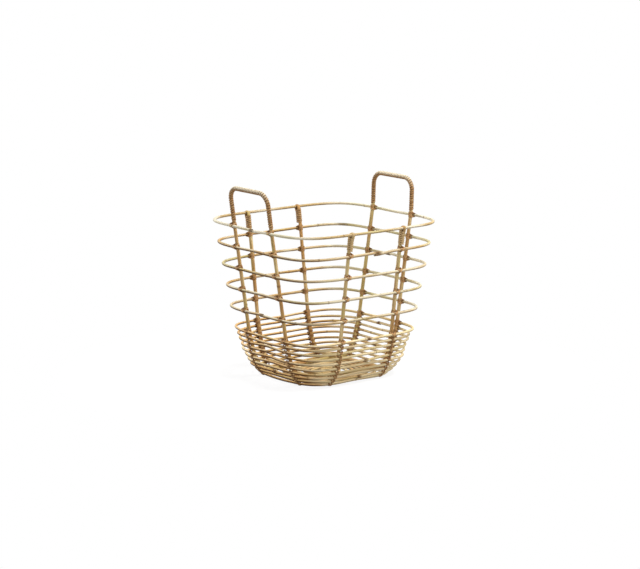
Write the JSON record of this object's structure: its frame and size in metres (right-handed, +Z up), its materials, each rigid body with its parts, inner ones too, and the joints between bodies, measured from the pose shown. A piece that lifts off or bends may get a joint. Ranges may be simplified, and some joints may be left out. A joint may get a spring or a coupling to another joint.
{
  "type": "storage basket",
  "caption": "Open rattan storage basket: rounded-square hoops lashed with split cane to bent uprights, over a close-set bowl, with cane-wound carrying handles.",
  "frame": {"origin": "middle of the underside, on the surface that the basket stands on", "axes": "+Z up through the open mouth, handles on the -X and +X sides, plain sides at -Y and +Y"},
  "size_m": [0.417, 0.3856, 0.4275],
  "materials": {
    "rattan_hoop": "satin, skin on",
    "rattan_rib": "satin, scraped",
    "split_cane": "satin, stained"
  },
  "bodies": {
    "root": {"rim_hoop": "rattan_hoop", "wall_hoop_1": "rattan_hoop", "wall_hoop_2": "rattan_hoop", "wall_hoop_3": "rattan_hoop", "wall_hoop_4": "rattan_hoop", "bowl_hoop_1": "rattan_hoop", "bowl_hoop_2": "rattan_hoop", "bowl_hoop_3": "rattan_hoop", "bowl_hoop_4": "rattan_hoop", "bowl_hoop_5": "rattan_hoop", "bowl_hoop_6": "rattan_hoop", "bowl_hoop_7": "rattan_hoop", "bowl_hoop_8": "rattan_hoop", "bowl_hoop_9": "rattan_hoop", "bowl_hoop_10": "rattan_hoop", "floor_coil": "rattan_hoop", "plain_rib_1": "rattan_rib", "plain_rib_2": "rattan_rib", "handle_rod_1": "rattan_rib", "handle_rod_2": "rattan_rib", "handle_wrap_1": "split_cane", "handle_wrap_2": "split_cane", "rim_lashing_1": "split_cane", "rim_lashing_2": "split_cane", "rim_lashing_3": "split_cane", "rim_lashing_4": "split_cane", "wall_lashing_1_1": "split_cane", "wall_lashing_1_2": "split_cane", "wall_lashing_1_3": "split_cane", "wall_lashing_1_4": "split_cane", "wall_lashing_1_5": "split_cane", "wall_lashing_1_6": "split_cane", "wall_lashing_1_7": "split_cane", "wall_lashing_1_8": "split_cane", "wall_lashing_2_1": "split_cane", "wall_lashing_2_2": "split_cane", "wall_lashing_2_3": "split_cane", "wall_lashing_2_4": "split_cane", "wall_lashing_2_5": "split_cane", "wall_lashing_2_6": "split_cane", "wall_lashing_2_7": "split_cane", "wall_lashing_2_8": "split_cane", "wall_lashing_3_1": "split_cane", "wall_lashing_3_2": "split_cane", "wall_lashing_3_3": "split_cane", "wall_lashing_3_4": "split_cane", "wall_lashing_3_5": "split_cane", "wall_lashing_3_6": "split_cane", "wall_lashing_3_7": "split_cane", "wall_lashing_3_8": "split_cane", "wall_lashing_4_1": "split_cane", "wall_lashing_4_2": "split_cane", "wall_lashing_4_3": "split_cane", "wall_lashing_4_4": "split_cane", "wall_lashing_4_5": "split_cane", "wall_lashing_4_6": "split_cane", "wall_lashing_4_7": "split_cane", "wall_lashing_4_8": "split_cane"}
  },
  "joints": []
}
